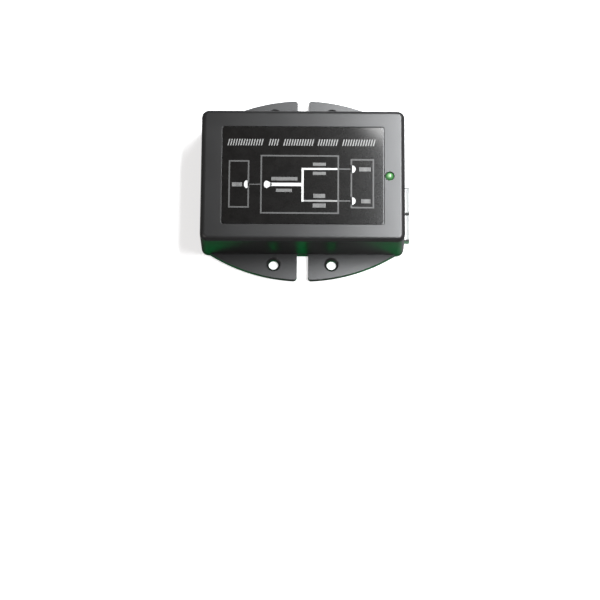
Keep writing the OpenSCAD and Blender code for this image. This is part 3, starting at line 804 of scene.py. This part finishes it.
def add_jack(node, faces):
    """Moulded housing whose local X runs inwards from the mouth, in millimetres.

    faces is -1 for a mouth at the left end and 1 for one at the right."""
    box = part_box(node)
    low, high = box
    length, wide, tall = (high - low) / MM
    half = wide / 2
    jack = box_object(node + "_body", (0, -half * MM, 0), (length * MM, half * MM, tall * MM))
    round_edges(jack, 0.35 * MM, 3)
    plug = ((-1, -5.95, 3.6), (11.8, 5.95, 10.4))
    latch = ((-1, -3.2, 2.2), (11.5, 3.2, 4.2))
    latch_tongue = ((-1, -1.9, 1.2), (11.2, 1.9, 3.2))
    wires = ((1.2, -4.53, 9.4), (length - 1.8, 4.53, 12.6))
    back = ((length - 3.6, -6.1, -1), (length + 1, 6.1, 12.3))
    left_panel = ((3.2, -half - 1, 1.6), (11.6, -half + 0.3, 11.4))
    right_panel = ((3.2, half - 0.3, 1.6), (11.6, half + 1, 11.4))
    roof_panel = ((3.2, -5.6, tall - 0.3), (11.6, 5.6, tall + 1))
    roof_step = ((13.2, -half - 1, tall - 0.45), (length + 1, half + 1, tall + 1))
    cuts = (plug, latch, latch_tongue, wires, back, left_panel, right_panel, roof_panel, roof_step)
    combine(jack, [box_object("cut", *[[c * MM for c in corner] for corner in cut]) for cut in cuts])
    round_edges(jack, 0.14 * MM)
    mouth_x, turn = (low.x, 0) if faces < 0 else (high.x, math.pi)
    place(jack, mouth_x, middle_of(box)[1], low.z, turn)
    finish_piece(jack, "jack", "base", "jack_plastic", node, angle=35)


# Screws

def add_threads(bm, at, core, crest, low_z, high_z, pitch):
    """Shank whose surface rises and falls along a helix, with a tapered end on top."""
    around, per_turn = 24, 8
    count = round((high_z - low_z) / pitch * per_turn)
    loops = []
    for i in range(count + 1):
        z = low_z + (high_z - low_z) * i / count
        fade = min(1, (high_z - z) / (2 * pitch))
        loop = []
        for k in range(around):
            phase = ((z - low_z) / pitch - k / around) % 1
            ridge = max(0, 1 - abs(phase - 0.5) * 3.2)
            r = core * (0.55 + 0.45 * fade) + (crest - core) * ridge * fade
            angle = math.tau * k / around
            loop.append((at[0] + r * math.cos(angle), at[1] + r * math.sin(angle), z))
        loops.append(loop)
    add_loft(bm, loops)


def cross_loop(reach, half_wide, z):
    """Points of a cross with four equal arms, anticlockwise from above."""
    points = []
    for quarter in range(4):
        turn = Matrix.Rotation(math.radians(90 * quarter), 2)
        for corner in ((reach, -half_wide), (reach, half_wide), (half_wide, half_wide)):
            points.append((*(turn @ Vector(corner)), z))
    return points


# depth as a share of the head's height, and reach and half width of the arms as shares of its radius
CROSS_RECESS = [(0.70, 0.10, 0.06), (0.55, 0.30, 0.10), (0, 0.56, 0.15), (-0.3, 0.64, 0.18)]


def screw_head(at, radius, height, face_z, up):
    """Pan head with a tapered cross recess; up is 1 when it faces upwards and -1 downwards."""
    side = 0.45 * height
    crown = [(radius - 0.12 * MM, 0), (radius, 0.12 * MM), (radius, side)]
    crown += [(radius * across, side + (height - side) * rise)
              for across, rise in arc_points((0, 0), 1, 9, 72, 7)]
    head = loft("head", turned(crown))
    combine(head, [loft("recess", [cross_loop(reach * radius, wide * radius, height * (1 - depth))
                                   for depth, reach, wide in CROSS_RECESS])])
    return place(head, *at, face_z - up * height, 0 if up > 0 else math.pi, "X")


def add_screws(node, name, body, up, head, thread):
    """One piece for all the screws of a node; head is (radius, height) and thread is (radius, pitch)."""
    bm = bmesh.new()
    for box in islands(node):
        at = middle_of(box)
        end, face_z = (box[0].z, box[1].z) if up > 0 else (box[1].z, box[0].z)
        part = screw_head(at, *head, face_z, up)
        bm.from_mesh(part.data)
        bpy.data.objects.remove(part)
        root = face_z - up * (head[1] - 0.05 * MM)
        if up < 0:
            add_threads(bm, at, 0.78 * thread[0], thread[0], root, end, thread[1])
        else:
            shank = [(0.8 * thread[0], end), (thread[0], end + 0.6 * MM), (thread[0], root)]
            add_loft(bm, turned(shank, at, 24))
    finish_piece(as_object(name, bm), "steel", body, "screw_steel", node, angle=38)


# Parts on the board

# inset of the can's side and height above the board in millimetres, up past the groove
CAN_FOOT = [(0.4, 0), (0.1, 0.12), (0, 0.4), (0, 1.3), (0.25, 1.55), (0.42, 1.9), (0.25, 2.25),
            (0, 2.5)]
CAN_SHOULDER = 0.45 * MM
CAN_LEAD = 0.3 * MM
BAND_FOOT = 2.8 * MM
BAND_ARC = (212, 262)


def add_capacitors(node, name):
    """Sleeved cans with a rolled groove, a scored metal top and a pale polarity band, as three pieces."""
    board_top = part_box("circuit_board")[1].z
    sleeves, tops, bands = bmesh.new(), bmesh.new(), bmesh.new()
    for box in islands(node):
        at = middle_of(box)
        r = half_of(box)[0]
        top = box[1].z
        profile = [(r - inset * MM, board_top + z * MM) for inset, z in CAN_FOOT]
        profile += arc_points((r - CAN_SHOULDER, top - CAN_SHOULDER), CAN_SHOULDER, 0, 90, 6)
        profile += [(r - 0.7 * MM, top - 0.04 * MM), (r - 0.85 * MM, top - 0.16 * MM)]
        add_loft(sleeves, turned(profile, at, 56))
        for x in (at[0] - r / 2, at[0] + r / 2):
            add_box(sleeves, (x - CAN_LEAD, at[1] - CAN_LEAD, box[0].z),
                    (x + CAN_LEAD, at[1] + CAN_LEAD, board_top))
        disc = rod_object("disc", r - 0.8 * MM, top - 0.2 * MM, top - 0.06 * MM, at, 48)
        reach, half_score = 0.62 * r, 0.09 * MM
        combine(disc, [box_object("score", (at[0] - hx, at[1] - hy, top - 0.13 * MM),
                                  (at[0] + hx, at[1] + hy, top + MM))
                       for hx, hy in ((reach, half_score), (half_score, reach))])
        tops.from_mesh(disc.data)
        bpy.data.objects.remove(disc)
        outer, inner = (arc_points(at, r + skin, *BAND_ARC, 12) for skin in (0.02 * MM, -0.02 * MM))
        bottom, head = board_top + BAND_FOOT, top - 0.6 * MM
        add_loft(bands, [[(*out, bottom), (*out, head), (*back, head), (*back, bottom)]
                         for out, back in zip(outer, inner)])
    cans = as_object(name + "_sleeve", sleeves)
    finish_piece(cans, "sleeve", "base", "capacitor_sleeve", node, angle=40)
    for part, bm, look in (("_top", tops, "can"), ("_band", bands, "stripe")):
        finish_piece(as_object(name + part, bm), look, "base", "capacitor_sleeve", angle=40)


def add_inductor_winding():
    """Turns of round wire, side by side on the drum."""
    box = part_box("inductor_winding")
    low_z, high_z = box[0].z, box[1].z
    turns = 9
    wire_r = (high_z - low_z) / turns / 2
    inner = 2.4 * MM
    profile = [(inner, low_z)]
    for i in range(turns):
        centre = (half_of(box)[0] - wire_r, low_z + wire_r * (2 * i + 1))
        profile += arc_points(centre, wire_r, -72, 72, 6)
    profile.append((inner, high_z))
    coil = loft("inductor_turns", turned(profile, middle_of(box), 56), closed=True)
    finish_piece(coil, "copper", "base", "copper_wire", "inductor_winding", angle=60)


def add_transformer_winding():
    """Taped coil: crowned layers whose lapped edges show as shallow steps."""
    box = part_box("transformer_winding")
    hx, hy = half_of(box)
    low_z, tall = box[0].z, box[1].z - box[0].z
    bands = 5
    loops = []
    for i in range(bands):
        for share, sink in ((0.02, 0.16), (0.12, 0.05), (0.5, 0), (0.88, 0.05), (0.98, 0.16)):
            z = low_z + tall * (i + share) / bands
            edge = abs(i + share - bands / 2) / (bands / 2)
            inset = (sink + 0.25 * edge ** 4) * MM
            loops.append(plan_loop(hx - inset, hy - inset, 2.5 * MM - inset, z, middle_of(box)))
    coil = loft("transformer_tape", loops)
    finish_piece(coil, "tape", "base", "winding_tape", "transformer_winding", angle=30)


def add_transistor():
    """Flat moulded package with slanted sides and two bent tinned legs at its front."""
    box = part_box("switch_transistor")
    low, high = box
    half_x, half_y = half_of(box)[0], 3.05 * MM
    at = (middle_of(box)[0], high.y - half_y)
    waist = low.z + 1.1 * MM
    loops = []
    for inset, z in ((0.12, low.z + 0.1 * MM), (0, waist), (0, waist + 0.1 * MM),
                     (0.22, high.z - 0.1 * MM), (0.34, high.z)):
        loops.append(plan_loop(half_x - inset * MM, half_y - inset * MM, 0.15 * MM, z, at, 3))
    body = loft("transistor_body", loops)
    finish_piece(body, "package", "base", "package_epoxy", "switch_transistor", angle=20)
    front = at[1] - half_y
    bend = [(front + 0.3 * MM, 0.95), (front - 0.6 * MM, 0.95), (front - 1.1 * MM, 0.22), (low.y, 0.22)]
    legs = bmesh.new()
    for side in (-1, 1):
        x = at[0] + side * 2.28 * MM
        add_loft(legs, [[(x + across * 0.4 * MM, y, low.z + (z + over * 0.2) * MM)
                         for over, across in CORNERS] for y, z in bend])
    pair = as_object("transistor_legs", legs)
    round_edges(pair, 0.05 * MM)
    finish_piece(pair, "tin", "base", "package_epoxy", angle=32)


# Board print

BEND = math.tan(math.radians(22.5))


def plan_of(box):
    """x, y, half length and half width of a box seen from above, in millimetres."""
    return [c / MM for c in (*middle_of(box), *half_of(box))]


def bus(width, pitch, leads, first_y, corners):
    """Parallel tracks: each leaves its own lead straight along Y, then follows the same corners.

    first_y and corners are the innermost track's, and the others lie pitch further out."""
    lines = []
    for i, lead in enumerate(leads):
        out = i * pitch
        bends = [(x + out * BEND, y + out) for x, y in corners]
        lines.append((width, [lead, (lead[0], first_y + out), *bends]))
    return lines


# width and points of the power path: sockets, filter, switch, rectifier, output
POWER_TRACKS = [
    (2.2, [(31.5, -18.5), (29, -18.5), (27.6, -18.5)]), (2.2, [(25, -20.5), (22.6, -20.5)]),
    (2.2, [(11.4, -20.4), (8.4, -20.4)]), (1.6, [(31.5, 7.4), (29, 7.4), (27.5, 5.9), (27.5, 4.4)]),
    (1.6, [(23, 0.6), (21, -1.4), (21, -3)]), (1.6, [(17.6, -6), (15, -6)]),
    (1.6, [(-0.4, -22.6), (-4, -22.6), (-6.1, -20.5), (-8.2, -20.5)]),
    (2.2, [(-13.6, -20.5), (-16.6, -20.5), (-19, -18.1)]),
    (2.2, [(-22.8, -8.6), (-24.6, -6.8), (-32.2, -6.8)]), (1.2, [(-14.6, -13), (-12.4, -13)]),
]
OUTPUT_POUR = [(-43.4, -26.4), (-42, -27.8), (-32.6, -27.8), (-32.6, -21.8), (-26, -21.8),
               (-26, -16.6), (-30, -12.6), (-43.4, -12.6)]
VIAS = [(25.2, 9.1), (25.5, 9.9), (0.4, -1.1), (-21.4, 15.2), (-21.4, 17.6), (-21.4, 20), (-21.4, 22.4),
        (-36, 12), (-37.6, 12), (-36, 15), (3, 16.4), (4.6, 16.4), (6.2, 16.4), (35, 24.4),
        (-8.6, -25.4), (-10.2, -25.4), (-11.8, -25.4), (13.6, 2.6), (15.2, 2.6), (16.8, 2.6), (-34, -14),
        (-35.6, -14), (-34, -16), (-35.6, -16), (31.4, -10)]


def board_tracks():
    """Lines that join the parts, as (width, points) in millimetres."""
    mx, my, _, _ = plan_of(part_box("magnetics_module"))
    cx, cy, _, _ = plan_of(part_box("controller_chip"))
    lead = [mx + 1.5 * (3.5 - i) for i in range(8)]
    pin = [cx + 1.27 * (1.5 - i) for i in range(4)]
    # magnetics: eight tracks from its front to the output jack, four from its back to the data jack
    lines = bus(0.32, 0.62, [(x, my - 5.6) for x in lead], 7.9, [(-26.4, 7.9), (-30.9, 3.4), (-32.2, 3.4)])
    lines += bus(0.32, 0.6, [(x, my + 5.6) for x in lead[:4]], 26.4,
                 [(13.2, 26.4), (20.6, 19), (32.2, 19)])
    # controller: two tracks towards the data jack, two up to the resistors, four to the transformer
    lines += bus(0.3, 0.6, [(x, cy + 2.8) for x in pin[:2]], 11.9, [(22.4, 11.9), (25, 9.3)])
    for x in pin[2:]:
        lines.append((0.3, [(x, cy + 2.8), (x, 11.6), (x - 0.5, 12.1), (x - 0.5, 12.9)]))
    for i, x in enumerate(reversed(pin)):
        y = 1.6 + 0.6 * i
        bend_x = 3.2 - 0.6 * i * BEND
        lines.append((0.3, [(x, cy - 2.8), (x, y), (bend_x, y), (bend_x - 2.6, y - 2.6)]))
    # ceramic capacitors beside the transformer, resistors beside the output jack
    for i in range(4):
        x = -14 + 2.6 * i
        lines.append((0.5, [(x, 3.4), (x, 1.4)]))
    lines.append((0.5, [(-14, 1.4), (-6.2, 1.4)]))
    for i in range(4):
        y = 14 + 2.4 * i
        lines.append((0.4, [(-25.2, y), (-22.6, y), (-21.6, y + 1)]))
        lines.append((0.4, [(-26.8, y), (-30.5, y)]))
    lines.append((0.6, [(-30.5, 14), (-30.5, 21.2)]))
    return lines + POWER_TRACKS


LEAD_PAD_OUT = 0.25
LEAD_PAD_IN = 1.3


def add_pads(top):
    """Tinned copper round the leads and under the ends of the parts."""
    pads = Print("board_pads", top, "tin", "base", "tinned_metal", 0.05)
    for x, y, _, _ in map(plan_of, islands("led_leads")):
        pads.bead(x, y, 0.95, 0.95, steps=20)
    for x, y in VIAS:
        pads.ring(x, y, 0.34, 0.3, steps=16)
    for node in ("magnetics_leads", "controller_leads"):
        middle_y = plan_of(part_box(node))[1]
        for x, y, hx, hy in map(plan_of, islands(node)):
            side = -1 if y < middle_y else 1
            middle = hy + (LEAD_PAD_OUT - LEAD_PAD_IN) / 2
            pads.patch(x, y + side * middle, hx + 0.12, (LEAD_PAD_OUT + LEAD_PAD_IN) / 2)
    for node in ("input_capacitors", "output_capacitor", "fuse"):
        for x, y, r, _ in map(plan_of, islands(node)):
            pads.ring(x, y, r + 0.15, 0.5, 250, 40, 8)
    for node in ("ceramic_capacitors", "chip_resistors"):
        for x, y, hx, hy in map(plan_of, islands(node)):
            for side in (-1, 1):
                if hx > hy:
                    pads.patch(x + side * hx + 0.05, y, 0.4, hy + 0.1)
                else:
                    pads.patch(x, y + side * hy, hx + 0.1, 0.4)
    x, y, _, _ = plan_of(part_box("rectifier_diode"))
    for side in (-1, 1):
        pads.patch(x + side * 2.6, y, 0.8, 1.2)
    x, y, hx, hy = plan_of(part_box("transistor_tab"))
    pads.patch(x, y - 0.2, hx + 0.5, hy + 0.8)
    pads.done()


def add_board_print():
    """Raised mask over the tracks, tinned pads, and the outlines printed round the parts."""
    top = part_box("circuit_board")[1].z
    tracks = Print("board_tracks", top, "trace", "base", "board_laminate", 0.035)
    for width, points in board_tracks():
        tracks.track(points, width)
    tracks.shape(OUTPUT_POUR)
    tracks.done()
    add_pads(top)
    silk = Print("board_outlines", top, "silkscreen", "base", "board_laminate", 0.04)
    for node, gap in (("magnetics_module", 0.5), ("controller_chip", 0.35), ("transformer_bobbin", 0.9),
                      ("switch_transistor", 0.7), ("rectifier_diode", 0.9)):
        x, y, hx, hy = plan_of(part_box(node))
        silk.frame(x - hx - gap, x + hx + gap, y - hy - gap, y + hy + gap, 0.18)
    for node in ("input_capacitors", "output_capacitor", "inductor_core", "fuse"):
        for x, y, r, _ in map(plan_of, islands(node)):
            silk.ring(x, y, r + 0.65, 0.18)
    silk.done()


# Stage and light

FLOOR_HALF = 4
FLOOR_Z = -0.1 * MM
FLOOR_GLOW = 0.62
FLOOR_BOUNCE = (0.32, 0.32, 0.32)
FLOOR_SHADE = (0.11, 0.11, 0.11)
SHADE_AT, SHADE_REACH = (0, -0.052), (0.066, 0.026)
FLOOR_SPILL = (0.010, 0.54, 0.125)
SPILL_AT, SPILL_REACH = (-0.003, -0.035), (0.046, 0.008)


def oval_patch(shader, centre, reach):
    """One inside an oval on the floor, fading to zero just outside it."""
    scale = (1 / reach[0], 1 / reach[1], 1)
    shift = (-centre[0] / reach[0], -centre[1] / reach[1], 0)
    return shader.spread(shader.distance(shader.stretched(scale, shift)), 1, 0, 0.9, 1.3)


def add_floor():
    """Paper, white to the camera; other rays meet it grey, with a dark and a green patch at the front."""
    bm = bmesh.new()
    bmesh.ops.create_grid(bm, x_segments=1, y_segments=1, size=FLOOR_HALF)
    floor = as_object("floor", bm)
    floor.location.z = FLOOR_Z
    shader = Shader("floor_paper", (0.9, 0.9, 0.9), 0.9, Specular_IOR_Level=0.1,
                    Emission_Color=(1, 1, 1, 1))
    seen = shader.node("LightPath", {}).outputs["Is Camera Ray"]
    bounce = shader.blend(oval_patch(shader, SHADE_AT, SHADE_REACH), FLOOR_BOUNCE, FLOOR_SHADE)
    bounce = shader.blend(oval_patch(shader, SPILL_AT, SPILL_REACH), bounce, FLOOR_SPILL)
    paper = shader.blend(shader.noise(0.05, 3), (0.89, 0.89, 0.89), (0.91, 0.91, 0.91))
    shader.color_from(seen, bounce, paper)
    shader.drive("Emission Strength", shader.math("MULTIPLY", seen, FLOOR_GLOW))
    floor.data.materials.append(shader.material)


def add_softbox(name, at, turn, size, power, color=(1, 1, 1)):
    """Panel light that faces down before it is turned, in degrees about X, Y and Z."""
    data = bpy.data.lights.new(name, "AREA")
    data.shape = "RECTANGLE"
    data.size, data.size_y = size
    data.energy = power
    data.color = color
    light = bpy.data.objects.new(name, data)
    scene.collection.objects.link(light)
    light.location = at
    light.rotation_euler = [math.radians(angle) for angle in turn]
    light.visible_camera = False


def add_lights():
    world = bpy.data.worlds.new("room")
    world.use_nodes = True
    background = world.node_tree.nodes["Background"]
    background.inputs["Color"].default_value = (1, 0.94, 0.92, 1)
    background.inputs["Strength"].default_value = 0.12
    scene.world = world
    add_softbox("right_softbox", (0.101, 0.078, 0.26), (0, -10, 0), (0.10, 0.31), 2.25,
                (0.96, 0.98, 1))
    add_softbox("corner_panel", (0.050, 0.115, 0.26), (0, 0, -37.6), (0.024, 0.024), 0.028)
    add_softbox("left_softbox", (-0.9, -0.5, 0.9), (30, -40, 0), (0.7, 0.7), 2.8, (1, 0.95, 0.93))
    scene.view_settings.view_transform = "Standard"


# Make everything

BOARD_HEAD = (2.2 * MM, 1.4 * MM)
BOARD_THREAD = (1 * MM, 0.8 * MM)

add_camera()
materials = add_materials()
dress_cad_nodes()
add_cover()
add_print(add_label())
add_status_led()
for shell_node in ("usb_front_shell", "usb_rear_shell"):
    add_usb_shell(shell_node)
add_jack("poe_jack_housing", -1)
add_jack("lan_jack_housing", 1)
add_screws("case_screws", "case_screw_set", "screws", -1, CASE_HEAD, CASE_THREAD)
add_screws("board_screws", "board_screw_set", "base", 1, BOARD_HEAD, BOARD_THREAD)
add_capacitors("input_capacitors", "input_capacitor")
add_capacitors("output_capacitor", "output_capacitor")
add_inductor_winding()
add_transformer_winding()
add_transistor()
add_board_print()
add_floor()
add_lights()
